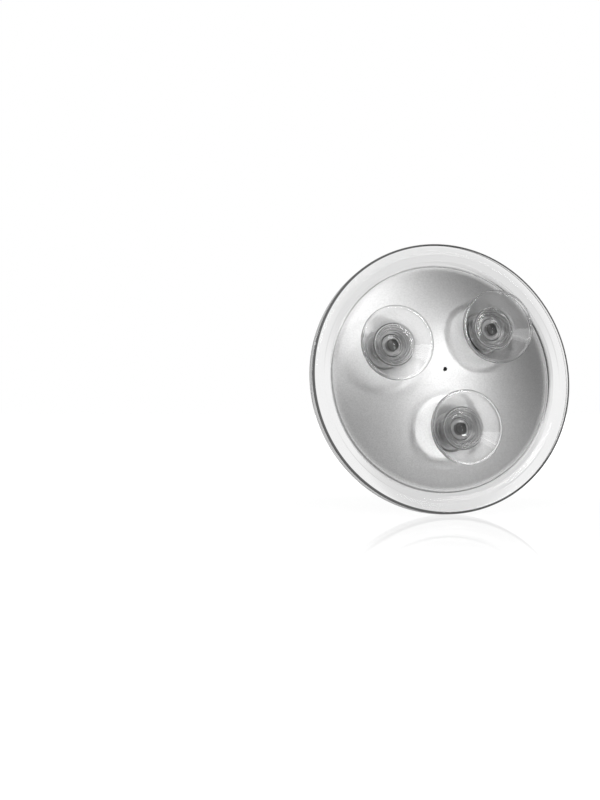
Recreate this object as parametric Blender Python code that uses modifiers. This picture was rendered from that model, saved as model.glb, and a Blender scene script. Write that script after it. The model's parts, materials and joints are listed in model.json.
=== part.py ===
"""Suction cup magnifying mirror: a clear ring frame, a concave glass, a domed cover and three suction cups.

The glass faces -Y and the suction cups face +Y. The origin is on the plane that the cup lips stand on,
at the height of the frame's centre. Lengths are in metres.
"""

import math

import bpy

# Mirror glass
GLASS_DIAMETER = 0.127
GLASS_THICKNESS = 0.0018
GLASS_SAG = 0.0035
GLASS_SEAM = 0.0003

# Clear frame, a ring around the glass
FRAME_WIDTH = 0.0125
FRAME_EDGE_ROUND = 0.0007
FRAME_FRONT_LIP = 0.0002
FRAME_WALL_LEAN = 0.0017
FRAME_RIDGE_INSET = 0.0063
FRAME_RIDGE_STEP = 0.0004
FRAME_RIDGE_WIDTH = 0.0005
FRAME_REAR_FALL = 0.0003
FRAME_INNER_ROUND = 0.0006

# Back cover, a little wider than the glass
COVER_LEDGE = 0.0008
COVER_WALL = 0.001
COVER_DEPTH = 0.0045
COVER_RISE = 0.007
COVER_FLANGE = 0.0014
COVER_EDGE_ROUND = 0.0006
COVER_FOOT_ROUND = 0.0002
VENT_DIAMETER = 0.0024

# Sockets of the back cover, one under each cup
SOCKET_DIAMETER = 0.019
SOCKET_TOP_WALL = 0.0012
SOCKET_SIDE_WALL = 0.0012
SOCKET_BELOW_CROWN = 0.0005
SOCKET_EDGE_ROUND = 0.0005

# Adhesive ring between the glass and the back cover
ADHESIVE_INSET = 0.0055
ADHESIVE_WIDTH = 0.008

# Suction cups
CUP_DIAMETER = 0.041
CUP_HEIGHT = 0.0152
CUP_CAVITY_DEPTH = 0.0082
CUP_LIP_WALL = 0.0011
CUP_LIP_LAND = 0.0014
CUP_LIP_ROUND = 0.0002
CUP_FLOOR_RADIUS = 0.0052
CUP_BELL_POWER = 1.08
CUP_FILLET_POWER = 1.2
CUP_PIP_RADIUS = 0.0030
CUP_PIP_HEIGHT = 0.0004
CUP_PIP_DRAFT = 0.0003
CUP_STEP_RADIUS = 0.0070
CUP_STEP_HEIGHT = 0.0004
CUP_STEP_DRAFT = 0.0003
CUP_HUB_RADIUS = 0.0058
CUP_HUB_HEIGHT = 0.0022
CUP_HUB_ROUND = 0.0004
CUP_NECK_RADIUS = 0.0035
CUP_HEAD_RADIUS = 0.0052
CUP_HEAD_EDGE = 0.0005
CUP_HEAD_TAPER = 0.0014
CUP_HEAD_TIP_RADIUS = 0.0030

# Where the cups stand: on a circle, as a share of the glass's radius, that lies above the glass's centre
CUP_CIRCLE_SHARE = 0.5386
CUP_GROUP_LIFT = 0.0042
CUP_ANGLES = {"suction_cup_upper_right": 30, "suction_cup_upper_left": 150, "suction_cup_lower": 270}

# Gaps between pieces
SEAT_GAP = 0.0002
EDGE_GAP = 0.00015
NECK_GAP = 0.0002
GROOVE_GAP = 0.00015
ADHESIVE_GAP = 0.0001
OVERRUN = 0.001

# Facets
FRAME_STEPS = 80
COVER_STEPS = 64
GLASS_STEPS = 64
ADHESIVE_STEPS = 40
SOCKET_STEPS = 32
CUP_STEPS = 32
VENT_STEPS = 16
ROUND_SEGMENTS = 2
DOME_POINTS = 6
GLASS_POINTS = 4
ADHESIVE_POINTS = 3
SKIRT_POINTS = 6
SMOOTH_BELOW = math.radians(32)
MERGE_DISTANCE = 0.000001

# Heights above the frame's rear face, towards the cups
GLASS_RADIUS = GLASS_DIAMETER / 2
FRAME_RADIUS = GLASS_RADIUS + FRAME_WIDTH
COVER_RADIUS = GLASS_RADIUS + COVER_LEDGE
CUP_RADIUS = CUP_DIAMETER / 2
CUP_CIRCLE_RADIUS = GLASS_RADIUS * CUP_CIRCLE_SHARE
SOCKET_RADIUS = SOCKET_DIAMETER / 2
COVER_EDGE_TOP = -COVER_DEPTH
COVER_EDGE_BOTTOM = COVER_EDGE_TOP - COVER_WALL
SHOULDER = COVER_EDGE_BOTTOM - SEAT_GAP
GLASS_BACK = COVER_EDGE_BOTTOM - SEAT_GAP
GLASS_FRONT = GLASS_BACK - GLASS_THICKNESS
FRAME_FRONT = GLASS_FRONT - FRAME_FRONT_LIP
DOME_RADIUS = COVER_RADIUS - COVER_FLANGE
SOCKET_TOP = COVER_EDGE_TOP + COVER_RISE - SOCKET_BELOW_CROWN
SOCKET_RECESS = SOCKET_TOP - SOCKET_TOP_WALL
NECK_HOLE_RADIUS = CUP_NECK_RADIUS + NECK_GAP
CUP_SEAT = SOCKET_TOP + GROOVE_GAP
LIP_PLANE = CUP_SEAT + CUP_HEIGHT


def clear_scene():
    for obj in list(bpy.data.objects):
        bpy.data.objects.remove(obj)


def new_collection(name):
    collection = bpy.data.collections.new(name)
    bpy.context.scene.collection.children.link(collection)
    return collection


def finish(name, color, roughness, metallic=0.0, transmission=0.0, ior=1.49):
    """A plain surface finish."""
    material = bpy.data.materials.new(name)
    material.use_nodes = True
    shader = material.node_tree.nodes["Principled BSDF"]
    shader.inputs["Base Color"].default_value = (*color, 1.0)
    shader.inputs["Roughness"].default_value = roughness
    shader.inputs["Metallic"].default_value = metallic
    shader.inputs["Transmission Weight"].default_value = transmission
    shader.inputs["IOR"].default_value = ior
    material.diffuse_color = (*color, 1.0)
    return material


def clear_acrylic():
    return finish("clear_acrylic", (0.92, 0.92, 0.92), roughness=0.05, transmission=1.0, ior=1.49)


def silver_paint():
    return finish("silver_paint", (0.62, 0.62, 0.62), roughness=0.38, metallic=1.0)


def mirror_silvering():
    return finish("mirror_silvering", (0.80, 0.80, 0.80), roughness=0.02, metallic=1.0)


def white_foam():
    return finish("white_foam", (0.80, 0.80, 0.78), roughness=0.9)


def clear_soft_plastic():
    return finish("clear_soft_plastic", (0.90, 0.90, 0.90), roughness=0.08, transmission=1.0, ior=1.53)


def rounded_outline(corners, closed):
    """The points of an outline of corners (radius, height, rounding), with each rounding as an arc."""
    points = []
    count = len(corners)
    for index, (radius, height, rounding) in enumerate(corners):
        at_end = not closed and index in (0, count - 1)
        if rounding <= 0 or at_end:
            points.append((radius, height))
            continue
        before = corners[index - 1]
        after = corners[(index + 1) % count]
        to_before = (before[0] - radius, before[1] - height)
        to_after = (after[0] - radius, after[1] - height)
        length_before = math.hypot(*to_before)
        length_after = math.hypot(*to_after)
        unit_before = (to_before[0] / length_before, to_before[1] / length_before)
        unit_after = (to_after[0] / length_after, to_after[1] / length_after)
        cosine = unit_before[0] * unit_after[0] + unit_before[1] * unit_after[1]
        half_angle = math.acos(max(-1.0, min(1.0, cosine))) / 2
        reach = min(rounding / math.tan(half_angle), length_before / 2, length_after / 2)
        start = (radius + unit_before[0] * reach, height + unit_before[1] * reach)
        end = (radius + unit_after[0] * reach, height + unit_after[1] * reach)
        fit_radius = reach * math.tan(half_angle)
        to_centre = fit_radius / math.sin(half_angle)
        bisector = (unit_before[0] + unit_after[0], unit_before[1] + unit_after[1])
        bisector_length = math.hypot(*bisector)
        centre = (
            radius + bisector[0] / bisector_length * to_centre,
            height + bisector[1] / bisector_length * to_centre,
        )
        start_angle = math.atan2(start[1] - centre[1], start[0] - centre[0])
        end_angle = math.atan2(end[1] - centre[1], end[0] - centre[0])
        sweep = (end_angle - start_angle + math.pi) % (2 * math.pi) - math.pi
        for step in range(ROUND_SEGMENTS + 1):
            angle = start_angle + sweep * step / ROUND_SEGMENTS
            across = centre[0] + fit_radius * math.cos(angle)
            along = centre[1] + fit_radius * math.sin(angle)
            points.append((across, along))
    return points


def turned(name, profile, closed, steps, collection, material=None):
    """A turned piece about its local Z. The profile runs down its outer side, top to bottom."""
    mesh = bpy.data.meshes.new(name)
    edges = [(index, index + 1) for index in range(len(profile) - 1)]
    if closed:
        edges.append((len(profile) - 1, 0))
    mesh.from_pydata([(radius, 0, height) for radius, height in profile], edges, [])
    if material:
        mesh.materials.append(material)
    obj = bpy.data.objects.new(name, mesh)
    collection.objects.link(obj)
    screw = obj.modifiers.new("Turn", "SCREW")
    screw.axis = "Z"
    screw.steps = steps
    screw.render_steps = steps
    screw.use_merge_vertices = True
    screw.merge_threshold = MERGE_DISTANCE
    screw.use_smooth_shade = True
    return obj


def bake_mesh(obj):
    """Applies the modifiers and shades the piece smooth, with its edges sharp."""
    bpy.context.view_layer.update()
    graph = bpy.context.evaluated_depsgraph_get()
    mesh = bpy.data.meshes.new_from_object(obj.evaluated_get(graph))
    mesh.name = obj.name
    obj.modifiers.clear()
    obj.data = mesh
    mesh.shade_smooth()
    mesh.set_sharp_from_angle(angle=SMOOTH_BELOW)


def turned_helper(name, profile, steps, location, parent, collection):
    """A turned shape that only cuts or joins another piece."""
    helper = turned(name, profile, False, steps, collection)
    helper.parent = parent
    helper.location = location
    helper.hide_render = True
    helper.display_type = "WIRE"
    return helper


def place_empty(name, parent, location, collection, turn=0.0):
    empty = bpy.data.objects.new(name, None)
    collection.objects.link(empty)
    empty.parent = parent
    empty.location = location
    empty.rotation_euler = (turn, 0, 0)
    return empty


def steps_between(start, end, count):
    """Values from start to end, both included."""
    return [start + (end - start) * index / (count - 1) for index in range(count)]


def dome_height(radius, edge, rise, span):
    """The height of a shallow dome that rises from its edge height at radius span to its middle."""
    return edge + rise * (1 - (radius / span) ** 2)


def cup_position(angle):
    """A cup axis, across and up from the frame's centre."""
    across = CUP_CIRCLE_RADIUS * math.cos(math.radians(angle))
    up = CUP_GROUP_LIFT + CUP_CIRCLE_RADIUS * math.sin(math.radians(angle))
    return across, up


def build_frame(collection, parent):
    """The clear ring: a ridged rear face, a leaning inner wall, the cover's shoulder and the glass's bore."""
    cover_bore = COVER_RADIUS + EDGE_GAP
    glass_bore = GLASS_RADIUS + EDGE_GAP
    rear_inner = cover_bore + FRAME_WALL_LEAN
    ridge = FRAME_RADIUS - FRAME_RIDGE_INSET
    ridge_foot = ridge - FRAME_RIDGE_WIDTH
    inner_face = -FRAME_RIDGE_STEP - FRAME_REAR_FALL
    corners = [
        (rear_inner, inner_face, FRAME_INNER_ROUND),
        (ridge_foot, -FRAME_RIDGE_STEP, 0),
        (ridge, 0, 0),
        (FRAME_RADIUS, 0, FRAME_EDGE_ROUND),
        (FRAME_RADIUS, FRAME_FRONT, FRAME_EDGE_ROUND),
        (glass_bore, FRAME_FRONT, FRAME_FRONT_LIP),
        (glass_bore, SHOULDER, 0),
        (cover_bore, SHOULDER, 0),
        (cover_bore, COVER_EDGE_TOP, 0),
    ]
    profile = rounded_outline(corners, True)
    frame = turned("clear_frame", profile, True, FRAME_STEPS, collection, clear_acrylic())
    frame.parent = parent
    bake_mesh(frame)


def glass_height(radius, edge):
    """The height of a face of the glass that starts from its edge height."""
    return dome_height(radius, edge, GLASS_SAG, GLASS_RADIUS - GLASS_SEAM)


def build_glass(collection, parent):
    """The concave glass: both faces dish towards the cover, and its edge is seamed."""
    radii = steps_between(0, GLASS_RADIUS - GLASS_SEAM, GLASS_POINTS + 1)
    back = [(radius, glass_height(radius, GLASS_BACK)) for radius in radii]
    front = [(radius, glass_height(radius, GLASS_FRONT)) for radius in reversed(radii)]
    edge = [(GLASS_RADIUS, GLASS_BACK - GLASS_SEAM), (GLASS_RADIUS, GLASS_FRONT + GLASS_SEAM)]
    glass = turned("mirror_glass", back + edge + front, False, GLASS_STEPS, collection, mirror_silvering())
    glass.parent = parent
    bake_mesh(glass)


def build_adhesive(collection, parent):
    """The foam ring that holds the glass in the cover, as a wedge between their two curved faces."""
    outer = GLASS_RADIUS - ADHESIVE_INSET
    inner = outer - ADHESIVE_WIDTH
    radii = steps_between(inner, outer, ADHESIVE_POINTS)
    top = [(radius, cover_inside(radius) - ADHESIVE_GAP) for radius in radii]
    bottom = [(radius, glass_height(radius, GLASS_BACK) + ADHESIVE_GAP) for radius in reversed(radii)]
    ring = turned("adhesive_ring", top + bottom, True, ADHESIVE_STEPS, collection, white_foam())
    ring.parent = parent
    bake_mesh(ring)


def cover_outside(radius):
    return dome_height(radius, COVER_EDGE_TOP, COVER_RISE, DOME_RADIUS)


def cover_inside(radius):
    return cover_outside(radius) - COVER_WALL


def socket_blank(name, angle, parent, cutters):
    """The outside of one socket, as a round block from its flat top down into the cover's wall."""
    across, up = cup_position(angle)
    far_side = math.hypot(across, up) + SOCKET_RADIUS
    bottom = cover_outside(far_side) - COVER_WALL / 2
    corners = [
        (0, SOCKET_TOP, 0),
        (SOCKET_RADIUS, SOCKET_TOP, SOCKET_EDGE_ROUND),
        (SOCKET_RADIUS, bottom, 0),
        (0, bottom, 0),
    ]
    profile = rounded_outline(corners, False)
    return turned_helper(name, profile, SOCKET_STEPS, (across, -up, 0), parent, cutters)


def socket_hollow(name, angle, parent, cutters):
    """The inside of one socket: a recess for the cup's head, and the hole for its neck."""
    across, up = cup_position(angle)
    recess = SOCKET_RADIUS - SOCKET_SIDE_WALL
    top = SOCKET_TOP + OVERRUN
    bottom = SHOULDER
    profile = [
        (0, top),
        (NECK_HOLE_RADIUS, top),
        (NECK_HOLE_RADIUS, SOCKET_RECESS),
        (recess, SOCKET_RECESS),
        (recess, bottom),
        (0, bottom),
    ]
    hollow = turned_helper(name, profile, SOCKET_STEPS, (across, -up, 0), parent, cutters)
    # Half a facet of turn keeps its corners off the facet lines of the socket around it.
    hollow.rotation_euler = (0, 0, math.pi / SOCKET_STEPS)
    return hollow


def vent_cutter(parent, cutters):
    radius = VENT_DIAMETER / 2
    top = cover_outside(0) + OVERRUN
    bottom = SHOULDER
    profile = [(0, top), (radius, top), (radius, bottom), (0, bottom)]
    return turned_helper("vent_cutter", profile, VENT_STEPS, (0, -CUP_GROUP_LIFT, 0), parent, cutters)


def add_boolean(obj, operation, other):
    boolean = obj.modifiers.new(other.name, "BOOLEAN")
    boolean.operation = operation
    boolean.solver = "EXACT"
    boolean.object = other


def build_cover(collection, cutters, parent):
    """The domed cover: a thin shell with a flat flange, three sockets and a small vent between them."""
    radii = steps_between(0, DOME_RADIUS, DOME_POINTS + 1)
    outside = [(radius, cover_outside(radius)) for radius in radii]
    inside = [(radius, cover_inside(radius)) for radius in reversed(radii)]
    rim = rounded_outline(
        [
            (DOME_RADIUS, COVER_EDGE_TOP, 0),
            (COVER_RADIUS, COVER_EDGE_TOP, COVER_EDGE_ROUND),
            (COVER_RADIUS, COVER_EDGE_BOTTOM, COVER_FOOT_ROUND),
            (DOME_RADIUS, COVER_EDGE_BOTTOM, 0),
        ],
        False,
    )
    profile = outside + rim[1:-1] + inside
    cover = turned("back_cover", profile, False, COVER_STEPS, collection, silver_paint())
    cover.parent = parent
    for cup, angle in CUP_ANGLES.items():
        add_boolean(cover, "UNION", socket_blank(f"{cup}_socket", angle, parent, cutters))
    for cup, angle in CUP_ANGLES.items():
        add_boolean(cover, "DIFFERENCE", socket_hollow(f"{cup}_hollow", angle, parent, cutters))
    add_boolean(cover, "DIFFERENCE", vent_cutter(parent, cutters))
    bake_mesh(cover)


def skirt_height(radius):
    """The height of the cup's inner face above its seat, from the floor of the hollow to the lip."""
    floor = CUP_HEIGHT - CUP_CAVITY_DEPTH
    reach = (radius - CUP_FLOOR_RADIUS) / (CUP_RADIUS - CUP_LIP_LAND - CUP_FLOOR_RADIUS)
    return floor + CUP_CAVITY_DEPTH * max(reach, 0) ** CUP_BELL_POWER


def skirt_back(radius):
    """The height of the skirt's back: thin at the lip, and ever thicker down to the top of the hub."""
    reach = (CUP_RADIUS - radius) / (CUP_RADIUS - CUP_HUB_RADIUS)
    fillet = skirt_height(CUP_HUB_RADIUS) - CUP_LIP_WALL - CUP_HUB_HEIGHT
    return skirt_height(radius) - CUP_LIP_WALL - fillet * reach**CUP_FILLET_POWER


def cup_profile():
    """One cup from the middle of its hollow, over the lip, down the skirt, hub and neck to the head's tip."""
    floor = CUP_HEIGHT - CUP_CAVITY_DEPTH
    land = CUP_RADIUS - CUP_LIP_LAND
    pip = [
        (0, floor + CUP_PIP_HEIGHT, 0),
        (CUP_PIP_RADIUS, floor + CUP_PIP_HEIGHT, 0),
        (CUP_PIP_RADIUS + CUP_PIP_DRAFT, floor, 0),
        (CUP_FLOOR_RADIUS, floor, 0),
    ]
    step_radius = CUP_STEP_RADIUS + CUP_STEP_DRAFT
    step_height = skirt_height(CUP_STEP_RADIUS) + CUP_STEP_HEIGHT
    step = [(CUP_STEP_RADIUS, skirt_height(CUP_STEP_RADIUS), 0), (step_radius, step_height, 0)]
    inner_radii = steps_between(step_radius, land, SKIRT_POINTS)[1:-1]
    inner = [(radius, max(skirt_height(radius), step_height), 0) for radius in inner_radii]
    lip = [
        (land, CUP_HEIGHT, 0),
        (CUP_RADIUS, CUP_HEIGHT, CUP_LIP_ROUND),
        (CUP_RADIUS, CUP_HEIGHT - CUP_LIP_WALL, CUP_LIP_ROUND),
    ]
    outer_radii = steps_between(land, CUP_HUB_RADIUS, SKIRT_POINTS)[:-1]
    outer = [(radius, skirt_back(radius), 0) for radius in outer_radii]
    hub = [
        (CUP_HUB_RADIUS, CUP_HUB_HEIGHT, CUP_HUB_ROUND),
        (CUP_HUB_RADIUS, 0, CUP_HUB_ROUND),
    ]
    groove = -SOCKET_TOP_WALL - 2 * GROOVE_GAP
    head = [
        (CUP_NECK_RADIUS, 0, 0),
        (CUP_NECK_RADIUS, groove, 0),
        (CUP_HEAD_RADIUS, groove, 0),
        (CUP_HEAD_RADIUS, groove - CUP_HEAD_EDGE, 0),
        (CUP_HEAD_TIP_RADIUS, groove - CUP_HEAD_EDGE - CUP_HEAD_TAPER, 0),
        (0, groove - CUP_HEAD_EDGE - CUP_HEAD_TAPER, 0),
    ]
    return rounded_outline(pip + step + inner + lip + outer + hub + head, False)


def build_cup(name, angle, collection, parent, material):
    """One clear suction cup on the axis of its socket, with its origin on its seat."""
    across, up = cup_position(angle)
    axis = place_empty(f"{name}_axis", parent, (across, -up, CUP_SEAT), collection)
    cup = turned(name, cup_profile(), False, CUP_STEPS, collection, material)
    cup.parent = axis
    bake_mesh(cup)


def main():
    clear_scene()
    parts = new_collection("suction_cup_magnifying_mirror")
    cutters = new_collection("cutters")
    cutters.hide_render = True
    # The local Z of every piece points to the wall, so the whole stack is turned about X.
    centre = place_empty("frame_centre", None, (0, -LIP_PLANE, 0), parts, turn=-math.pi / 2)
    build_frame(parts, centre)
    build_glass(parts, centre)
    build_cover(parts, cutters, centre)
    build_adhesive(parts, centre)
    soft_plastic = clear_soft_plastic()
    for name, angle in CUP_ANGLES.items():
        build_cup(name, angle, parts, centre, soft_plastic)


if __name__ == "__main__":
    main()
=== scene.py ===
"""The looks of a suction cup magnifying mirror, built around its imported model.

The mirror faces -Y and its suction cups face +Y, the side that the camera sees. Lengths are in metres.
"""

import json
import math

import bpy
from mathutils import Matrix, Vector


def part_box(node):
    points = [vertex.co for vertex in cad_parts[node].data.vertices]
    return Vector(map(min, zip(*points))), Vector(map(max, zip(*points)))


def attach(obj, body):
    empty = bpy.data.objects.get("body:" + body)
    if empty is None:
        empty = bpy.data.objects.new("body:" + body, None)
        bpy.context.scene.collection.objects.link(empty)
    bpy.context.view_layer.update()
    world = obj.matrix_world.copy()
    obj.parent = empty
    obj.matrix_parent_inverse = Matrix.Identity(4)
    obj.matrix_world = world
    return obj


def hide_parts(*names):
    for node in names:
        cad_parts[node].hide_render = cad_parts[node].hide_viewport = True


bl_info = {
    "name": "Suction Cup Magnifying Mirror",
    "version": (1, 0, 0),
    "blender": (4, 5, 0),
    "location": "View3D > Sidebar > Mirror",
    "description": "Builds the clear frame, glass, silver cover, suction cups and a white studio",
    "category": "Object",
}

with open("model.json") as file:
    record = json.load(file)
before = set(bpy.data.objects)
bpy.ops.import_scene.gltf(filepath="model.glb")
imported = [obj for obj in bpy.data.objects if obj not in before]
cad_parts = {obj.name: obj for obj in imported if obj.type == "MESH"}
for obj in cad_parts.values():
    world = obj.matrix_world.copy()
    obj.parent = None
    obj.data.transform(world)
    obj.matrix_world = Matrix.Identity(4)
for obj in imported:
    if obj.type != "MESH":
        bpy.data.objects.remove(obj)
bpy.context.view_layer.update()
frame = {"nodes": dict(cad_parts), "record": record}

FRAME_NODE = "clear_frame"
GLASS_NODE = "mirror_glass"
COVER_NODE = "back_cover"
ADHESIVE_NODE = "adhesive_ring"
CUP_NODES = ("suction_cup_upper_right", "suction_cup_upper_left", "suction_cup_lower")
BODY_OF = {node: body for body, nodes in frame["record"]["behaviour"]["bodies"].items() for node in nodes}

# Facets round the turned pieces, and points along the curves of their outlines
RING_STEPS = 512
DISC_STEPS = 256
SOCKET_STEPS = 96
CUP_STEPS = 256
ROUND_SEGMENTS = 5
DOME_POINTS = 28
GLASS_POINTS = 16
SKIRT_POINTS = 18
ROLL_POINTS = 9
# Facets that meet at less than this angle are shaded as one smooth surface
SMOOTH_BELOW = math.radians(35)
MERGE_DISTANCE = 0.000001

# Clear gaps, as the model has them
EDGE_GAP = 0.00015
SEAT_GAP = 0.0002

# Small roundings of the ring, at the ridge's foot and top and where the bore meets the wall
RIDGE_FOOT_ROUND = 0.0003
RIDGE_ROUND = 0.0002
BORE_ROUND = 0.0004

# Small sizes of a cup
SMALL_ROUND = 0.00015
HUB_ROUND = 0.0004
PIP_HEIGHT = 0.0004
DRAFT = 0.0003
GROOVE_GAP = 0.0003
HEAD_EDGE = 0.0005
HEAD_TAPER = 0.0014
HEAD_TIP_RADIUS = 0.0030
HEAD_TIP_ROUND = 0.0006
RIPPLE_COUNT = 5
RIPPLE_POINTS = 8
# Powers of the hollow's bell curve and of the fillet between the skirt's back and the hub
BELL_POWER = 1.08
FILLET_POWER = 1.2

# Heights on a cup between which the painted shade of the neck fades in below the hub and gives way to the
# frosted head
NECK_TOP_FADE = (0.0002, 0.0006)
HEAD_FADE = (-0.0016, -0.0012)
# On the ring, where the painted shade of the outer wall and its rounding fades in, as shares of its
# roundings
WALL_FADE_SHARES = (1.6, 1.3)
ROUND_FADE_SHARES = (0.9, 1.1)
# How far a cup's surface turns away from the eye while its painted edge shade comes in, from 0 to 1
FACING_FADE = (0.72, 0.98)

# The two clear plastics, and the flow marks, scuffs and frosting that they share
ACRYLIC = {"ior": 1.49, "haze": 0.12, "flow_depth": 0.00001, "shine": 0.12}
SOFT_PLASTIC = {"ior": 1.53, "haze": 0.07, "flow_depth": 0.00008, "shine": 0.6}
FLOW_SIZE = 0.011
SCUFF_SIZE = 0.0006
SCUFF_LEVELS = (0.52, 0.78)
SCUFF_SHADE = 0.03
CLEAN_HAZE_SHARE = 0.25
FROST = 0.7
FROST_ROUGHNESS = 0.6

# The satin silver: its shades, the grain in one fleck, the swing of its roughness and its orange peel
SILVER_SHADES = (0.90, 1.10)
GRAIN_PER_FLECK = 1.6
SATIN_SWING = 0.10
PEEL_SIZE = 0.0024
PEEL_DEPTH = 0.000012
# The mirror: its shades, and how far wiping marks dull it
MIRROR_SHADES = (0.985, 1.0)
WIPE_SIZE = 0.02
WIPE_LEVELS = (0.55, 0.9)
WIPE_ROUGHNESS = (0.01, 0.02)
# The paint behind the glass, its ground edge and the foam: shades, roughness, size of grain, depth of bump
PAINT_SHADES = (0.8, 1.2)
PAINT_ROUGHNESS = (0.5, 0.7)
PAINT_GRAIN = 0.0012
PAINT_DEPTH = 0.00004
GROUND_SHADES = (0.7, 1.4)
GROUND_ROUGHNESS = (0.35, 0.55)
GROUND_GRAIN = 0.0003
GROUND_DEPTH = 0.00003
CELL_TONES = ((0.80, 0.80, 0.78), (0.62, 0.62, 0.60))
CELL_ROUGHNESS = (0.8, 0.9)
CELL_SIZE = 0.0005
CELL_DEPTH = 0.0001

# Softboxes, each with its direction by the photograph's right, up and back, and its width and height
SOFTBOXES = {
    "key": ((0.52, 0.32, 0.79), (0.11, 0.11)),
    "top": ((0.01, 0.62, 0.78), (0.59, 0.41)),
    "side": ((0.59, -0.12, 0.80), (0.15, 0.41)),
    "left": ((-0.43, 0.52, 0.72), (0.30, 0.46)),
}
SOFTBOX_DISTANCE = 0.9
# Half of the floor's width
FLOOR_HALF = 4.0
# The floor from the rim outwards: where it turns plain white, how much of it glows, and its brightness
FLOOR_FADE = (0.10, 0.35)
FLOOR_GLOW_SHARES = (0.62, 1.0)
FLOOR_GLOW = 1.45
# The floor as clear plastic and gloss see it
FLOOR_SEEN_REACH = (0.0, 0.35)
FLOOR_SEEN_WHITES = (0.72, 0.96)
FLOOR_GLOSS_SHARE = 0.15
# The faint mirror image in the floor: its reach and its strength
FLOOR_SHINE_REACH = (0.02, 0.3)
FLOOR_SHINE = (0.22, 0.0)
# Towards the glass side, the floor fades out of what gloss sees between these distances
FLOOR_HIDDEN_FADE = (0.02, 0.08)
# The backdrop that clear plastic shows, by its height over the horizon
BACKDROP_REACH = (0.02, 0.14)
BACKDROP_WHITES = (0.97, 0.80)
# The room that gloss and the mirror see: soft waves of grey in front of the glass, dark behind it
WAVE_DIRECTION = (0.9, 0.0, 0.6)
WAVE_RATE = 8 * math.pi
WAVE_SHIFT = 0.35
WAVE_SWING = 0.16
FRONT_GREY = 0.42
BACK_GREY = 0.06
FRONT_FADE = (-0.3, 0.1)
# The nearest and farthest that the camera sees
CLIP_NEAR = 0.01
CLIP_FAR = 20.0


def half_size(node):
    """Half of a node's width."""
    low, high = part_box(node)
    return (high.x - low.x) / 2


def centre_of(node):
    low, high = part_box(node)
    return (low + high) / 2


def front_of(node):
    """The end of a node on the glass side."""
    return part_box(node)[0].y


def back_of(node):
    """The end of a node on the side of the cups."""
    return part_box(node)[1].y


def length(name, description, default):
    """A length setting, in metres."""
    return bpy.props.FloatProperty(name=name, description=description, default=default, unit="LENGTH")


def colour(name, description, default):
    return bpy.props.FloatVectorProperty(
        name=name, description=description, default=default, size=3, subtype="COLOR"
    )


def amount(name, description, default):
    """A setting that can't be negative."""
    return bpy.props.FloatProperty(name=name, description=description, default=default, min=0)


class RingSettings(bpy.types.PropertyGroup):
    """Sizes and clear plastic of the frame."""

    edge_round: length("Edge round", "Rounding of the outer edge at the rear", 0.0009)
    front_round: length("Front round", "Rounding of the outer edge at the front", 0.0005)
    wall_lean: length("Wall lean", "How far the inner wall opens towards the rear", 0.0017)
    ridge_inset: length("Ridge inset", "From the outside to the ridge of the rear face", 0.0063)
    ridge_step: length("Ridge step", "Drop of the rear face at the ridge", 0.0004)
    ridge_width: length("Ridge width", "Width of the slope at the ridge", 0.0005)
    rear_fall: length("Rear fall", "Further drop from the ridge to the inner wall", 0.0003)
    inner_round: length("Inner round", "Rounding at the top of the inner wall", 0.0006)
    front_chamfer: length("Front chamfer", "Rounding of the bore at the front", 0.0002)
    tint: colour("Tint", "Colour of the clear plastic", (0.985, 0.985, 0.985))
    # The next two colours are painted shade: near black on the rounding at the rear, grey on the outer
    # wall, where the clear plastic shows dark surroundings
    painted_edge_shade: colour("Edge tint", "Colour of its steep edges", (0.02, 0.02, 0.02))
    painted_wall_shade: colour("Wall tint", "Colour of its outer wall", (0.60, 0.60, 0.60))
    body_tint: colour("Body tint", "What is left in its depth", (0.5, 0.5, 0.5))
    density: amount("Density", "How soon its depth darkens", 16.0)


class GlassSettings(bpy.types.PropertyGroup):
    """Sizes and finish of the mirror glass."""

    thickness: length("Thickness", "Thickness of the glass", 0.0018)
    seam: length("Seam", "Bevel of the ground edge", 0.0003)
    silvering: colour("Silvering", "Colour of the mirror", (0.82, 0.82, 0.82))
    backing: colour("Backing", "Colour of the paint on its back", (0.55, 0.55, 0.55))
    edge: colour("Edge", "Colour of the ground edge", (0.45, 0.46, 0.46))


class CoverSettings(bpy.types.PropertyGroup):
    """Sizes and satin silver of the back cover."""

    wall: length("Wall", "Thickness of the shell", 0.001)
    rise: length("Rise", "Height of the dome over its edge", 0.007)
    flange: length("Flange", "Width of the flat edge", 0.0014)
    roll_width: length("Roll width", "Width of the rolled edge", 0.0012)
    roll_depth: length("Roll depth", "Depth of the rolled edge", 0.0009)
    socket_radius: length("Socket radius", "Outside of a socket", 0.0095)
    socket_wall: length("Socket wall", "Wall of a socket", 0.0012)
    socket_round: length("Socket round", "Rounding of a socket's edge", 0.0005)
    neck_hole: length("Neck hole", "Radius of the hole for a cup's neck", 0.0037)
    vent: length("Vent", "Radius of the small vent", 0.0012)
    silver: colour("Silver", "Colour of the paint", (0.62, 0.62, 0.62))
    satin: bpy.props.FloatProperty(
        name="Satin", description="Roughness of the paint", default=0.41, min=0, max=1, subtype="FACTOR"
    )
    fleck: length("Fleck", "Size of the metal flecks", 0.00035)


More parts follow.
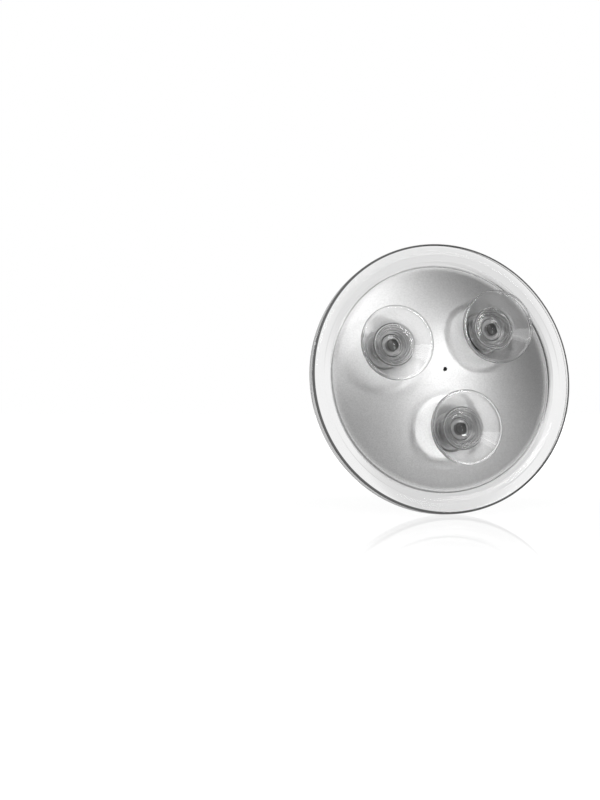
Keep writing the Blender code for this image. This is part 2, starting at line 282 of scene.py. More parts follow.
class CupSettings(bpy.types.PropertyGroup):
    """Sizes and soft clear plastic of a suction cup."""

    height: length("Height", "From the seat to the lip", 0.0152)
    cavity: length("Hollow", "Depth of the hollow under the lip", 0.0082)
    lip_wall: length("Lip wall", "Thickness at the lip", 0.0011)
    lip_land: length("Lip land", "Width of the flat of the lip", 0.0014)
    lip_round: length("Lip round", "Rounding of the lip's corners", 0.0005)
    hub_radius: length("Hub radius", "Outside of the hub", 0.0058)
    hub_height: length("Hub height", "Where the skirt's fillet meets the hub", 0.0022)
    floor_radius: length("Floor radius", "Flat floor of the hollow", 0.0052)
    pip_crown: length("Pip crown", "Height of the pip's crown over its edge", 0.0005)
    floor_dish: length("Floor dish", "Rise of the floor from the pip to its edge", 0.0003)
    lip_fall: length("Lip fall", "Fall of the flat of the lip to the outside", 0.00007)
    pip_radius: length("Pip radius", "Raised middle of the floor", 0.0030)
    step_radius: length("Step radius", "Step in the hollow round the floor", 0.0070)
    ripple_reach: length("Ripple reach", "Where the moulding rings of the hollow end", 0.0105)
    back_ripple_reach: length("Back ripple reach", "Where the moulding rings of the back end", 0.0125)
    ripple_depth: length("Ripple depth", "Depth of the hollow's moulding rings", 0.00034)
    back_ripple_depth: length("Back ripple depth", "Depth of the back's moulding rings", 0.0004)
    # Where the painted shade of the thick middle has faded out
    hub_shade_reach: length("Thick reach", "Where the thick middle has thinned out", 0.0155)
    neck_radius: length("Neck radius", "Neck in the socket's hole", 0.0035)
    head_radius: length("Head radius", "Head behind the socket's wall", 0.0052)
    tint: colour("Tint", "Colour of the soft plastic", (0.985, 0.985, 0.985))
    # The four colours below are painted shade: darker tints for the thick middle, the lip's edge, the neck
    # and the edges turned from the eye
    painted_hub_shade: colour("Hub tint", "Colour of its thick middle", (0.72, 0.72, 0.72))
    painted_lip_shade: colour("Rim tint", "Colour of the lip's edge", (0.45, 0.45, 0.45))
    painted_neck_shade: colour("Neck tint", "Colour of the neck", (0.18, 0.18, 0.18))
    painted_edge_shade: colour("Edge tint", "Colour of its steep edges", (0.25, 0.25, 0.25))
    body_tint: colour("Body tint", "What is left in its depth", (0.5, 0.5, 0.5))
    density: amount("Density", "How soon its depth darkens", 70.0)


class StudioSettings(bpy.types.PropertyGroup):
    """Camera, floor and light."""

    lens: bpy.props.FloatProperty(name="Lens", description="Focal length", default=48.33, unit="CAMERA")
    distance: length("Distance", "From the camera to the frame's rear face", 0.6037)
    key_power: amount("Key", "Power of the key softbox in watts", 1.0)
    top_power: amount("Top", "Power of the top softbox in watts", 2.35)
    side_power: amount("Side", "Power of the side softbox in watts", 1.65)
    left_power: amount("Left", "Power of the left softbox in watts", 1.8)
    world_light: amount("Fill", "Strength of the even light from all round", 0.5)
    floor_white: bpy.props.FloatProperty(
        name="Floor", description="Whiteness of the floor", default=0.40, min=0, max=1, subtype="FACTOR"
    )


# Axes of the photograph's view, in the model's frame
VIEW_RIGHT = Vector((-0.95512, 0.23135, -0.18499))
VIEW_UP = Vector((-0.16133, 0.11749, 0.97988))
VIEW_BACK = Vector((0.24843, 0.96575, -0.07490))
# Direction from the middle of the frame's rear face to the camera
TO_CAMERA = Vector((0.3773, 0.9235, -0.0702)).normalized()


class Signal:
    """One socket of a node tree, which arithmetic can be written with."""

    def __init__(self, tree, socket):
        self.tree = tree
        self.socket = socket

    def math(self, operation, *values):
        node = self.tree.nodes.new("ShaderNodeMath")
        node.operation = operation
        for place, value in zip(node.inputs, values):
            plug(self.tree, place, value)
        return Signal(self.tree, node.outputs[0])

    def __add__(self, other):
        return self.math("ADD", self, other)

    __radd__ = __add__

    def __rsub__(self, other):
        return self.math("SUBTRACT", other, self)

    def __mul__(self, other):
        return self.math("MULTIPLY", self, other)

    def sine(self):
        return self.math("SINE", self)


def plug(tree, place, value):
    """Sets an input socket to a value, or links it to a signal."""
    if isinstance(value, Signal):
        tree.links.new(value.socket, place)
        return
    if hasattr(place.default_value, "__len__") and hasattr(value, "__len__"):
        value = tuple(value) + (1.0,) * (len(place.default_value) - len(value))
    place.default_value = value


class Recipe:
    """The nodes of one material or of the world."""

    def __init__(self, tree):
        self.tree = tree
        self.tree.nodes.clear()

    def node(self, kind, settings=None, inputs=None, output=0):
        """Adds any node: its settings first, then the values or links of its sockets."""
        node = self.tree.nodes.new("ShaderNode" + kind)
        for name, value in (settings or {}).items():
            setattr(node, name, value)
        for name, value in (inputs or {}).items():
            plug(self.tree, node.inputs[name], value)
        return Signal(self.tree, node.outputs[output])

    def smooth(self, value, start, end, low=0.0, high=1.0):
        """A smooth step of a value from low at start to high at end."""
        settings = {"interpolation_type": "SMOOTHSTEP"}
        inputs = {"Value": value, "From Min": start, "From Max": end, "To Min": low, "To Max": high}
        return self.node("MapRange", settings, inputs)

    def tone(self, factor, first, second):
        """A colour between two colours."""
        settings = {"data_type": "RGBA"}
        return self.node("Mix", settings, {0: factor, 6: first, 7: second}, 2)

    def noise(self, where, size, detail=2.0, roughness=0.5):
        """Noise whose grains are about this size."""
        inputs = {"Vector": where, "Scale": 1 / size, "Detail": detail, "Roughness": roughness}
        return self.node("TexNoise", None, inputs)

    def ray(self, kind):
        """One for rays of this kind, else zero."""
        return self.node("LightPath", None, None, f"Is {kind} Ray")

    def dot(self, vector, axis):
        return self.node("VectorMath", {"operation": "DOT_PRODUCT"}, {0: vector, 1: tuple(axis)}, 1)

    def scaled(self, tint, factor):
        """A tint, lighter or darker by a factor."""
        return self.node("VectorMath", {"operation": "SCALE"}, {0: tint, "Scale": factor})

    def place(self):
        """Where a point lies on its own object, in metres."""
        return self.node("TexCoord", None, None, "Object")

    def part(self, vector, axis):
        """One of a vector's three parts."""
        return self.node("SeparateXYZ", None, {0: vector}, axis)

    def length(self, vector):
        return self.node("VectorMath", {"operation": "LENGTH"}, {0: vector}, 1)

    def height(self, where):
        """The height along a turned piece's axis."""
        return self.part(where, "Z")

    def off_axis(self, where):
        """The distance from a turned piece's axis."""
        flat = self.node("VectorMath", {"operation": "MULTIPLY"}, {0: where, 1: (1.0, 1.0, 0.0)})
        return self.length(flat)

    def bump(self, height, depth, strength=1.0):
        return self.node("Bump", None, {"Strength": strength, "Distance": depth, "Height": height})


def shades(tint, darker, lighter):
    """A darker and a lighter shade of a tint, by two factors."""
    return [[factor * part for part in tint] for factor in (darker, lighter)]


def new_material(name):
    material = bpy.data.materials.new(name)
    material.use_nodes = True
    return material, Recipe(material.node_tree)


def finish_material(recipe, surface, volume=None):
    """Connects the surface, and the inside of a clear piece, to the material's output."""
    output = recipe.tree.nodes.new("ShaderNodeOutputMaterial")
    plug(recipe.tree, output.inputs["Surface"], surface)
    if volume:
        plug(recipe.tree, output.inputs["Volume"], volume)


def clear_plastic(recipe, where, settings, tint, ior, haze, flow_depth, shine, frost=None):
    """Clear moulded plastic with flow marks, fine scuffs and frosted parts, darker in its depth."""
    flow = recipe.noise(where, FLOW_SIZE, detail=1.0)
    scuffs = recipe.noise(where, SCUFF_SIZE, detail=3.0, roughness=0.65)
    scuffed = recipe.smooth(scuffs, *SCUFF_LEVELS)
    inputs = {
        "Base Color": recipe.scaled(tint, 1 - scuffed * SCUFF_SHADE),
        "Roughness": scuffed * haze + haze * CLEAN_HAZE_SHARE,
        "IOR": ior,
        "Transmission Weight": 1.0,
        "Specular Tint": (shine, shine, shine),
        "Normal": recipe.bump(flow, flow_depth, 0.35),
    }
    plastic = recipe.node("BsdfPrincipled", None, inputs)
    if frost:
        inputs = {"Base Color": (0.8, 0.8, 0.8, 1.0), "Roughness": FROST_ROUGHNESS}
        frosted = recipe.node("BsdfPrincipled", None, inputs)
        plastic = recipe.node("MixShader", None, {0: frost, 1: plastic, 2: frosted})
    depth = {"Color": settings.body_tint, "Density": settings.density}
    finish_material(recipe, plastic, recipe.node("VolumeAbsorption", None, depth))


def finish_matt(recipe, pattern, tones, roughness, depth, strength):
    """Finishes a matt material, whose tone, roughness and bump all follow one pattern."""
    low, high = roughness
    inputs = {
        "Base Color": recipe.tone(pattern, *tones),
        "Roughness": pattern * (high - low) + low,
        "Normal": recipe.bump(pattern, depth, strength),
    }
    finish_material(recipe, recipe.node("BsdfPrincipled", None, inputs))


def satin_silver(settings):
    """Silver paint: metal flecks in a satin coat, over a faint orange peel."""
    material, recipe = new_material("satin_silver_paint")
    where = recipe.place()
    flecks = recipe.node("TexVoronoi", {"feature": "F1"}, {"Vector": where, "Scale": 1 / settings.fleck}, 1)
    glint = recipe.node("SeparateColor", None, {0: flecks})
    grain = recipe.noise(where, settings.fleck * GRAIN_PER_FLECK, detail=3.0, roughness=0.6)
    peel = recipe.noise(where, PEEL_SIZE, detail=1.0)
    inputs = {
        "Base Color": recipe.tone(glint, *shades(settings.silver, *SILVER_SHADES)),
        "Metallic": 1.0,
        "Roughness": settings.satin - SATIN_SWING / 2 + grain * SATIN_SWING,
        "Normal": recipe.bump(grain + peel, PEEL_DEPTH, 0.6),
    }
    finish_material(recipe, recipe.node("BsdfPrincipled", None, inputs))
    return material


def silvered_glass(settings):
    """The face of the mirror: a clean reflection with a trace of haze."""
    material, recipe = new_material("silvered_glass")
    wipe = recipe.noise(recipe.place(), WIPE_SIZE, detail=3.0)
    inputs = {
        "Base Color": recipe.tone(wipe, *shades(settings.silvering, *MIRROR_SHADES)),
        "Metallic": 1.0,
        "Roughness": recipe.smooth(wipe, *WIPE_LEVELS, *WIPE_ROUGHNESS),
        "Coat Weight": 1.0,
        "Coat Roughness": 0.01,
    }
    finish_material(recipe, recipe.node("BsdfPrincipled", None, inputs))
    return material


def backing_paint(settings):
    """The matt paint that protects the silver on the back of the glass."""
    material, recipe = new_material("glass_backing_paint")
    grain = recipe.noise(recipe.place(), PAINT_GRAIN, detail=3.0)
    tones = shades(settings.backing, *PAINT_SHADES)
    finish_matt(recipe, grain, tones, PAINT_ROUGHNESS, PAINT_DEPTH, 0.4)
    return material


def ground_edge(settings):
    """The ground edge of the glass: dull, dark and slightly uneven."""
    material, recipe = new_material("ground_glass_edge")
    grain = recipe.noise(recipe.place(), GROUND_GRAIN)
    tones = shades(settings.edge, *GROUND_SHADES)
    finish_matt(recipe, grain, tones, GROUND_ROUGHNESS, GROUND_DEPTH, 0.5)
    return material


def closed_cell_foam():
    """White foam with small closed cells."""
    material, recipe = new_material("closed_cell_foam")
    cells = recipe.node("TexVoronoi", {"feature": "F1"}, {"Vector": recipe.place(), "Scale": 1 / CELL_SIZE})
    finish_matt(recipe, cells, CELL_TONES, CELL_ROUGHNESS, CELL_DEPTH, 0.5)
    return material


def rounded_outline(corners, closed):
    """The points of an outline of corners (radius, height, rounding), with each rounding as an arc."""
    points = []
    count = len(corners)
    for index, (radius, height, rounding) in enumerate(corners):
        corner = Vector((radius, height))
        if rounding <= 0 or (not closed and index in (0, count - 1)):
            points.append(corner)
            continue
        before = Vector(corners[index - 1][:2]) - corner
        after = Vector(corners[(index + 1) % count][:2]) - corner
        half_angle = before.angle(after) / 2
        reach = min(rounding / math.tan(half_angle), before.length / 2, after.length / 2)
        start = corner + before.normalized() * reach
        end = corner + after.normalized() * reach
        radius_fit = reach * math.tan(half_angle)
        middle = (before.normalized() + after.normalized()).normalized()
        centre = corner + middle * (radius_fit / math.sin(half_angle))
        sweep = (start - centre).angle_signed(end - centre)
        for step in range(ROUND_SEGMENTS + 1):
            turn = Matrix.Rotation(-sweep * step / ROUND_SEGMENTS, 2)
            points.append(centre + turn @ (start - centre))
    return [tuple(point) for point in points]


def steps_between(start, end, count):
    """Values from start to end, both included."""
    return [start + (end - start) * index / (count - 1) for index in range(count)]


def turned(name, profile, closed, steps, place, turn=0.0):
    """A piece turned about an axis along +Y. The profile runs from its top down its outer side."""
    mesh = bpy.data.meshes.new(name)
    edges = [(index, index + 1) for index in range(len(profile) - 1)]
    if closed:
        edges.append((len(profile) - 1, 0))
    mesh.from_pydata([(radius, 0, height) for radius, height in profile], edges, [])
    piece = bpy.data.objects.new(name, mesh)
    bpy.context.scene.collection.objects.link(piece)
    piece.location = place
    piece.rotation_euler = (-math.pi / 2, 0, 0)
    piece.matrix_basis = piece.matrix_basis @ Matrix.Rotation(turn, 4, "Z")
    screw = piece.modifiers.new("Turn", "SCREW")
    screw.axis = "Z"
    screw.steps = steps
    screw.render_steps = steps
    screw.use_merge_vertices = True
    screw.merge_threshold = MERGE_DISTANCE
    return piece


def bake_mesh(piece, materials):
    """Applies the modifiers, shades the piece smooth with its edges sharp, and gives it its materials."""
    bpy.context.view_layer.update()
    graph = bpy.context.evaluated_depsgraph_get()
    mesh = bpy.data.meshes.new_from_object(piece.evaluated_get(graph))
    mesh.name = piece.name
    piece.modifiers.clear()
    piece.data = mesh
    mesh.shade_smooth()
    mesh.set_sharp_from_angle(angle=SMOOTH_BELOW)
    mesh.materials.clear()
    for material in materials:
        mesh.materials.append(material)


def dome_height(radius, edge, rise, span):
    """The height of a shallow dome that rises from its edge height at radius span to its middle."""
    return edge + rise * (1 - (radius / span) ** 2)


def settle(piece, node):
    """Lets a piece stand for its CAD node and ride on that node's body."""
    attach(piece, BODY_OF[node])
    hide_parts(node)


class MIRROR_OT_clear_ring(bpy.types.Operator):
    """Build the clear ring frame"""

    bl_idname = "mirror.clear_ring"
    bl_label = "Clear ring"

    def execute(self, context):
        ring = context.scene.mirror_ring
        outside = half_size(FRAME_NODE)
        rear = back_of(FRAME_NODE)
        front = front_of(FRAME_NODE) - rear
        cover_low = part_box(COVER_NODE)[0]
        cover_bore = half_size(COVER_NODE) + EDGE_GAP
        glass_bore = half_size(GLASS_NODE) + EDGE_GAP
        shoulder = cover_low.y - rear - SEAT_GAP
        cover_edge = cover_low.y - rear + context.scene.mirror_cover.wall
        ridge = outside - ring.ridge_inset
        corners = [
            (cover_bore + ring.wall_lean, -ring.ridge_step - ring.rear_fall, ring.inner_round),
            (ridge - ring.ridge_width, -ring.ridge_step, RIDGE_FOOT_ROUND),
            (ridge, 0, RIDGE_ROUND),
            (outside, 0, ring.edge_round),
            (outside, front, ring.front_round),
            (glass_bore, front, ring.front_chamfer),
            (glass_bore, shoulder, 0),
            (cover_bore, shoulder, 0),
            (cover_bore, cover_edge, BORE_ROUND),
        ]
        profile = rounded_outline(corners, True)
        piece = turned("clear_ring", profile, True, RING_STEPS, (0, rear, 0))
        bake_mesh(piece, [self.acrylic(ring, outside, front)])
        settle(piece, FRAME_NODE)
        return {"FINISHED"}

    def acrylic(self, ring, outside, front):
        """Clear acrylic with painted shade: darker on the outer wall and darkest on the rounding at its
        rear.
        """
        material, recipe = new_material("clear_acrylic")
        where = recipe.place()
        height = recipe.height(where)
        low, high = ROUND_FADE_SHARES
        # Painted shade: the outer wall is tinted grey and the rounding at its rear near black
        wall = [outside - ring.edge_round * share for share in WALL_FADE_SHARES]
        outer = recipe.smooth(recipe.off_axis(where), *wall)
        behind = recipe.smooth(height, front + ring.front_round * low, front + ring.front_round * high)
        round_part = recipe.smooth(height, -ring.edge_round * high, -ring.edge_round * low)
        dark = recipe.tone(round_part, ring.painted_wall_shade, ring.painted_edge_shade)
        tint = recipe.tone(outer * behind, ring.tint, dark)
        clear_plastic(recipe, where, ring, tint, **ACRYLIC)
        return material


class MIRROR_OT_concave_glass(bpy.types.Operator):
    """Build the concave mirror glass"""

    bl_idname = "mirror.concave_glass"
    bl_label = "Concave glass"

    def execute(self, context):
        settings = context.scene.mirror_glass
        radius = half_size(GLASS_NODE)
        low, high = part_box(GLASS_NODE)
        sag = high.y - low.y - settings.thickness
        face = radius - settings.seam
        back = settings.thickness
        radii = steps_between(0, face, GLASS_POINTS + 1)
        profile = [(r, dome_height(r, back, sag, face)) for r in radii]
        profile += [(radius, back - settings.seam), (radius, settings.seam)]
        profile += [(r, dome_height(r, 0, sag, face)) for r in reversed(radii)]
        piece = turned("silvered_mirror_glass", profile, False, DISC_STEPS, (0, low.y, 0))
        bake_mesh(piece, [silvered_glass(settings), ground_edge(settings), backing_paint(settings)])
        for polygon in piece.data.polygons:
            middle = polygon.center
            if math.hypot(middle.x, middle.y) > face:
                polygon.material_index = 1
            elif middle.z > dome_height(math.hypot(middle.x, middle.y), back / 2, sag, face):
                polygon.material_index = 2
        settle(piece, GLASS_NODE)
        return {"FINISHED"}


class MIRROR_OT_silver_cover(bpy.types.Operator):
    """Build the domed silver cover with its three sockets"""

    bl_idname = "mirror.silver_cover"
    bl_label = "Silver cover"

    def execute(self, context):
        cover = context.scene.mirror_cover
        radius = half_size(COVER_NODE)
        low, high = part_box(COVER_NODE)
        base = low.y + cover.wall
        dome = radius - cover.flange
        top = high.y - base
        radii = steps_between(0, dome, DOME_POINTS + 1)
        outside = [(r, dome_height(r, 0, cover.rise, dome)) for r in radii]
        inside = [(r, dome_height(r, -cover.wall, cover.rise, dome)) for r in reversed(radii)]
        rim = []
        for turn in steps_between(0, math.pi / 2, ROLL_POINTS):
            across = radius - cover.roll_width * (1 - math.sin(turn))
            rim.append((across, -cover.roll_depth * (1 - math.cos(turn))))
        rim += [(radius, -cover.wall), (dome, -cover.wall)]
        piece = turned("satin_silver_cover", outside + rim + inside[1:], False, DISC_STEPS, (0, base, 0))
        helpers = []
        for node in CUP_NODES:
            helpers.append(("UNION", self.socket_outside(cover, node, base, top, dome)))
        for node in CUP_NODES:
            helpers.append(("DIFFERENCE", self.socket_inside(cover, node, base, top)))
        helpers.append(("DIFFERENCE", self.vent(cover, base)))
        for operation, helper in helpers:
            boolean = piece.modifiers.new(helper.name, "BOOLEAN")
            boolean.operation = operation
            boolean.solver = "EXACT"
            boolean.object = helper
        bake_mesh(piece, [satin_silver(cover)])
        for _, helper in helpers:
            bpy.data.objects.remove(helper)
        settle(piece, COVER_NODE)
        return {"FINISHED"}

    def socket_outside(self, cover, node, base, top, dome):
        """A round block from the socket's flat top down into the cover's wall."""
        middle = centre_of(node)
        far_side = math.hypot(middle.x, middle.z) + cover.socket_radius
        bottom = dome_height(far_side, 0, cover.rise, dome) - cover.wall / 2
        corners = [
            (0, top, 0),
            (cover.socket_radius, top, cover.socket_round),
            (cover.socket_radius, bottom, 0),
            (0, bottom, 0),
        ]
        profile = rounded_outline(corners, False)
        return turned(node + "_socket", profile, False, SOCKET_STEPS, (middle.x, base, middle.z))

    def socket_inside(self, cover, node, base, top):
        """The recess behind the socket's top wall, and the hole for the neck."""
        middle = centre_of(node)
        recess = cover.socket_radius - cover.socket_wall
        over = top + cover.wall
        under = -2 * cover.wall
        profile = [
            (0, over),
            (cover.neck_hole, over),
            (cover.neck_hole, top - cover.socket_wall),
            (recess, top - cover.socket_wall),
            (recess, under),
            (0, under),
        ]
        turn = math.pi / SOCKET_STEPS
        return turned(node + "_hollow", profile, False, SOCKET_STEPS, (middle.x, base, middle.z), turn)

    def vent(self, cover, base):
        """The small hole between the sockets."""
        places = [centre_of(node) for node in CUP_NODES]
        middle = sum(places, Vector()) / len(places)
        over = cover.rise + cover.wall
        under = -2 * cover.wall
        profile = [(0, over), (cover.vent, over), (cover.vent, under), (0, under)]
        turn = math.pi / SOCKET_STEPS
        return turned("vent", profile, False, SOCKET_STEPS // 2, (0, base, middle.z), turn)


class MIRROR_OT_foam_ring(bpy.types.Operator):
    """Give the foam ring behind the glass its finish"""

    bl_idname = "mirror.foam_ring"
    bl_label = "Foam ring"

    def execute(self, context):
        ring = frame["nodes"][ADHESIVE_NODE]
        ring.data.materials.clear()
        ring.data.materials.append(closed_cell_foam())
        return {"FINISHED"}


class MIRROR_OT_suction_cups(bpy.types.Operator):
    """Build the three clear suction cups"""

    bl_idname = "mirror.suction_cups"
    bl_label = "Suction cups"

    def execute(self, context):
        cup = context.scene.mirror_cup
        radius = half_size(CUP_NODES[0])
        plastic = self.soft_plastic(cup, radius)
        profile = self.profile(cup, radius, context.scene.mirror_cover.socket_wall)
        for node in CUP_NODES:
            middle = centre_of(node)
            seat = back_of(node) - cup.height
            piece = turned("clear_" + node, profile, False, CUP_STEPS, (middle.x, seat, middle.z))
            bake_mesh(piece, [plastic])
            settle(piece, node)
        return {"FINISHED"}

    def soft_plastic(self, cup, radius):
        """Soft clear plastic with painted shade: darker in its thick middle, on the lip's edge and on edges
        turned from the eye, and darkest at the neck.
        """
        material, recipe = new_material("clear_soft_plastic")
        where = recipe.place()
        out = recipe.off_axis(where)
        height = recipe.height(where)
        # Painted shade: masks for the darker middle, lip edge and neck, tinted over the clear plastic
        thick = recipe.smooth(out, cup.hub_radius, cup.hub_shade_reach, 1.0, 0.0)
        rim = recipe.smooth(out, radius - cup.lip_round, radius - cup.lip_round / 2)
        below_hub = recipe.smooth(height, *NECK_TOP_FADE, 1.0, 0.0)
        above_head = recipe.smooth(height, *HEAD_FADE)
        tint = recipe.tone(thick, cup.tint, cup.painted_hub_shade)
        tint = recipe.tone(rim, tint, cup.painted_lip_shade)
        tint = recipe.tone(below_hub * above_head, tint, cup.painted_neck_shade)
        # Painted shade on the edges that turn away from the eye
        facing = recipe.node("LayerWeight", None, {"Blend": 0.5}, "Facing")
        tint = recipe.tone(recipe.smooth(facing, *FACING_FADE), tint, cup.painted_edge_shade)
        clear_plastic(recipe, where, cup, tint, **SOFT_PLASTIC, frost=(1 - above_head) * FROST)
        return material

    def profile(self, cup, radius, socket_wall):
        """One cup, from the middle of its hollow over the lip and down the skirt and neck to the head."""
        floor = cup.height - cup.cavity
        land = radius - cup.lip_land
        step_end = cup.step_radius + DRAFT
        ripple_steps = RIPPLE_COUNT * RIPPLE_POINTS + 1

        def skirt(at):
            reach = max((at - cup.floor_radius) / (land - cup.floor_radius), 0)
            return floor + cup.cavity * reach**BELL_POWER

        def skirt_back(at):
            reach = (radius - at) / (radius - cup.hub_radius)
            fillet = skirt(cup.hub_radius) - cup.lip_wall - cup.hub_height
            return skirt(at) - cup.lip_wall - fillet * reach**FILLET_POWER

        def ripple(at, start, end, depth):
            """The height of the moulding rings that run from start to end."""
            return depth * math.sin(math.pi * RIPPLE_COUNT * (at - start) / (end - start)) ** 2

        step_height = skirt(cup.step_radius) + PIP_HEIGHT
        crown = [
            (at, dome_height(at, floor + PIP_HEIGHT, cup.pip_crown, cup.pip_radius), 0)
            for at in steps_between(0, cup.pip_radius, ROLL_POINTS)
        ]
        corners = crown + [
            (cup.pip_radius + DRAFT, floor, SMALL_ROUND),
            (cup.floor_radius, floor + cup.floor_dish, SMALL_ROUND),
            (cup.step_radius, skirt(cup.step_radius), SMALL_ROUND),
            (step_end, step_height, SMALL_ROUND),
        ]
        for at in steps_between(step_end, cup.ripple_reach, ripple_steps)[1:]:
            rise = ripple(at, step_end, cup.ripple_reach, cup.ripple_depth)
            corners.append((at, max(skirt(at), step_height) + rise, 0))
        inner = steps_between(cup.ripple_reach, land, SKIRT_POINTS)[1:-1]
        corners += [(at, skirt(at), 0) for at in inner]
        corners += [
            (land, cup.height, cup.lip_round),
            (radius, cup.height - cup.lip_fall, cup.lip_round),
            (radius, cup.height - cup.lip_wall, cup.lip_round),
        ]
        outer = steps_between(land, cup.back_ripple_reach, SKIRT_POINTS)
        corners += [(at, skirt_back(at), 0) for at in outer]
        for at in steps_between(cup.back_ripple_reach, cup.hub_radius, ripple_steps)[1:-1]:
            rise = ripple(at, cup.back_ripple_reach, cup.hub_radius, cup.back_ripple_depth)
            corners.append((at, skirt_back(at) - rise, 0))
        groove = -socket_wall - GROOVE_GAP
        edge = groove - HEAD_EDGE
        tip = edge - HEAD_TAPER
        corners += [
            (cup.hub_radius, cup.hub_height, HUB_ROUND),
            (cup.hub_radius, 0, HUB_ROUND),
            (cup.neck_radius, 0, SMALL_ROUND),
            (cup.neck_radius, groove, SMALL_ROUND),
            (cup.head_radius, groove, SMALL_ROUND),
            (cup.head_radius, edge, SMALL_ROUND),
            (HEAD_TIP_RADIUS, tip, HEAD_TIP_ROUND),
            (0, tip, 0),
        ]
        return rounded_outline(corners, False)


class MIRROR_OT_studio(bpy.types.Operator):
    """Set the camera, the white floor and the soft light"""

    bl_idname = "mirror.studio"
    bl_label = "Studio"

    def execute(self, context):
        studio = context.scene.mirror_studio
        target = Vector((0, back_of(FRAME_NODE), 0))
        self.camera(studio, target)
        self.floor(studio, target)
        self.world(studio)
        for name, (direction, size) in SOFTBOXES.items():
            self.softbox(name + "_softbox", target, direction, size, getattr(studio, name + "_power"))
        context.scene.view_settings.view_transform = "Standard"
        return {"FINISHED"}

    def camera(self, studio, target):
        data = bpy.data.cameras.new("photo_camera")
        data.lens = studio.lens
        camera = bpy.data.objects.new("photo_camera", data)
        bpy.context.scene.collection.objects.link(camera)
        axes = Matrix((VIEW_RIGHT, VIEW_UP, VIEW_BACK)).transposed()
        camera.matrix_world = Matrix.Translation(target + TO_CAMERA * studio.distance) @ axes.to_4x4()
        data.clip_start = CLIP_NEAR
        data.clip_end = CLIP_FAR
        bpy.context.scene.camera = camera

    def floor(self, studio, target):
        """A white floor that touches the rim below, as it stands in the photograph."""
        outside = half_size(FRAME_NODE)
        thickness = back_of(FRAME_NODE) - front_of(FRAME_NODE)
        axis_part = abs(VIEW_UP.y)
        across_part = math.hypot(VIEW_UP.x, VIEW_UP.z)
        drop = outside * across_part + thickness * axis_part
        mesh = bpy.data.meshes.new("white_floor")
        corners = [(x * FLOOR_HALF, y * FLOOR_HALF, 0) for x, y in ((-1, -1), (1, -1), (1, 1), (-1, 1))]
        mesh.from_pydata(corners, [], [(0, 1, 2, 3)])
        floor = bpy.data.objects.new("white_floor", mesh)
        bpy.context.scene.collection.objects.link(floor)
        axes = Matrix((VIEW_RIGHT, -VIEW_BACK, VIEW_UP)).transposed()
        floor.matrix_world = Matrix.Translation(target - VIEW_UP * drop) @ axes.to_4x4()
        mesh.materials.append(self.floor_paint(studio))

    def floor_paint(self, studio):
        """A white board that glows to the camera, mirrors a little, and isn't seen in the mirror glass."""
        material, recipe = new_material("white_gloss_floor")
        camera_ray = recipe.ray("Camera")
        glass_ray = recipe.ray("Transmission")
        glossy_ray = recipe.ray("Glossy") * (1 - glass_ray)
        where = recipe.place()
        away = recipe.length(where)
        board = recipe.node("BsdfDiffuse", None, {"Color": (studio.floor_white,) * 3})
        seen_white = recipe.smooth(away, *FLOOR_SEEN_REACH, *FLOOR_SEEN_WHITES)
        brightness = camera_ray * FLOOR_GLOW + (1 - camera_ray) * seen_white
        glow = recipe.node("Emission", None, {"Color": brightness, "Strength": 1.0})
        fade = recipe.smooth(away, *FLOOR_FADE, *FLOOR_GLOW_SHARES)
        seen_share = glass_ray + glossy_ray * FLOOR_GLOSS_SHARE
        glow_share = camera_ray * fade + (1 - camera_ray) * seen_share
        base = recipe.node("MixShader", None, {0: glow_share, 1: board, 2: glow})
        polish = recipe.node("BsdfGlossy", None, {"Color": (1.0, 1.0, 1.0), "Roughness": 0.0})
        shine = recipe.smooth(away, *FLOOR_SHINE_REACH, *FLOOR_SHINE)
        paint = recipe.node("MixShader", None, {0: shine * camera_ray, 1: base, 2: polish})
        before_glass = recipe.smooth(recipe.part(where, "Y"), *FLOOR_HIDDEN_FADE)
        clear = recipe.node("BsdfTransparent")
        mixed = recipe.node("MixShader", None, {0: glossy_ray * before_glass, 1: paint, 2: clear})
        finish_material(recipe, mixed)
        return material

    def world(self, studio):
        """White to the camera, even light for the object, and a grey room for gloss and the mirror."""
        world = bpy.data.worlds.new("white_studio")
        world.use_nodes = True
        recipe = Recipe(world.node_tree)
        direction = recipe.node("TexCoord", None, None, "Generated")
        camera_ray = recipe.ray("Camera")
        glossy_ray = recipe.ray("Glossy")
        glass_ray = recipe.ray("Transmission")
        # Only the floor's polish is perfectly smooth, so singular rays come from there
        floor_ray = recipe.ray("Singular")
        backdrop = recipe.smooth(recipe.dot(direction, VIEW_UP), *BACKDROP_REACH, *BACKDROP_WHITES)
        waves = recipe.dot(direction, WAVE_DIRECTION) * WAVE_RATE + WAVE_SHIFT
        front_room = waves.sine() * WAVE_SWING + FRONT_GREY
        in_front = recipe.smooth(recipe.dot(direction, (0.0, 1.0, 0.0)), *FRONT_FADE, 1.0, 0.0)
        room = in_front * front_room + (1 - in_front) * BACK_GREY
        room = room * (1 - floor_ray) + floor_ray
        light = (1 - camera_ray) * (1 - glossy_ray) * (1 - glass_ray) * studio.world_light
        brightness = camera_ray + glossy_ray * (1 - glass_ray) * room + glass_ray * backdrop + light
        background = recipe.node("Background", None, {"Color": brightness, "Strength": 1.0})
        output = world.node_tree.nodes.new("ShaderNodeOutputWorld")
        plug(world.node_tree, output.inputs["Surface"], background)
        world.cycles.sampling_method = "NONE"
        bpy.context.scene.world = world

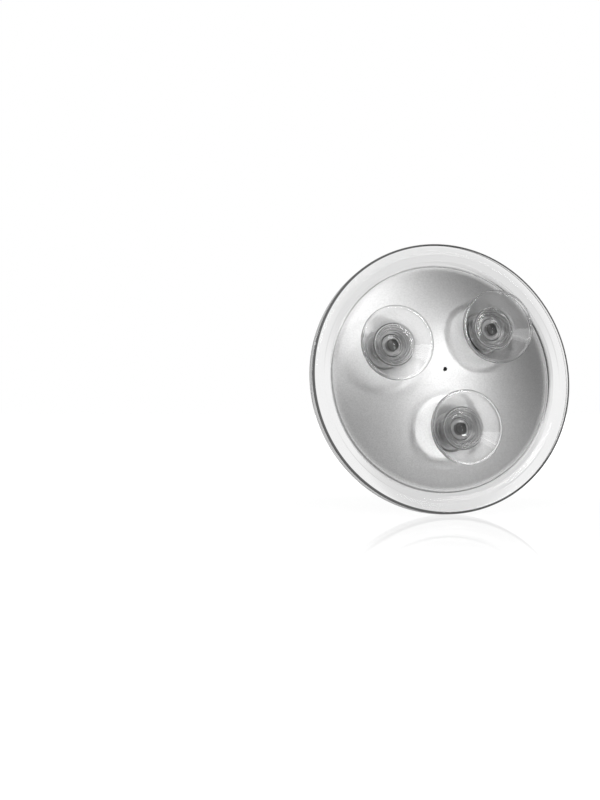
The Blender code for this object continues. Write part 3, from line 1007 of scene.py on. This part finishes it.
    def softbox(self, name, target, direction, size, power):
        """A soft rectangular lamp that faces the target."""
        data = bpy.data.lights.new(name, "AREA")
        data.shape = "RECTANGLE"
        data.size, data.size_y = size
        data.energy = power
        right, up, back = direction
        toward = (VIEW_RIGHT * right + VIEW_UP * up + VIEW_BACK * back).normalized()
        lamp = bpy.data.objects.new(name, data)
        bpy.context.scene.collection.objects.link(lamp)
        lamp.location = target + toward * SOFTBOX_DISTANCE
        lamp.rotation_mode = "QUATERNION"
        lamp.rotation_quaternion = (-toward).to_track_quat("-Z", "Y")


class MIRROR_PT_panel(bpy.types.Panel):
    """Sidebar panel that lists the mirror's operators"""

    bl_label = "Suction Cup Mirror"
    bl_idname = "MIRROR_PT_panel"
    bl_space_type = "VIEW_3D"
    bl_region_type = "UI"
    bl_category = "Mirror"

    def draw(self, context):
        for operator in OPERATORS:
            self.layout.operator(operator.bl_idname)


OPERATORS = (
    MIRROR_OT_studio,
    MIRROR_OT_silver_cover,
    MIRROR_OT_foam_ring,
    MIRROR_OT_concave_glass,
    MIRROR_OT_clear_ring,
    MIRROR_OT_suction_cups,
)
SETTINGS = {
    "mirror_ring": RingSettings,
    "mirror_glass": GlassSettings,
    "mirror_cover": CoverSettings,
    "mirror_cup": CupSettings,
    "mirror_studio": StudioSettings,
}


def register():
    for kind in (*SETTINGS.values(), *OPERATORS, MIRROR_PT_panel):
        bpy.utils.register_class(kind)
    for name, kind in SETTINGS.items():
        setattr(bpy.types.Scene, name, bpy.props.PointerProperty(type=kind))


def unregister():
    for name in SETTINGS:
        delattr(bpy.types.Scene, name)
    for kind in (MIRROR_PT_panel, *reversed(OPERATORS), *reversed(SETTINGS.values())):
        bpy.utils.unregister_class(kind)


def main():
    register()
    bpy.ops.mirror.studio()
    bpy.ops.mirror.silver_cover()
    bpy.ops.mirror.foam_ring()
    bpy.ops.mirror.concave_glass()
    bpy.ops.mirror.clear_ring()
    bpy.ops.mirror.suction_cups()


if __name__ == "__main__":
    main()
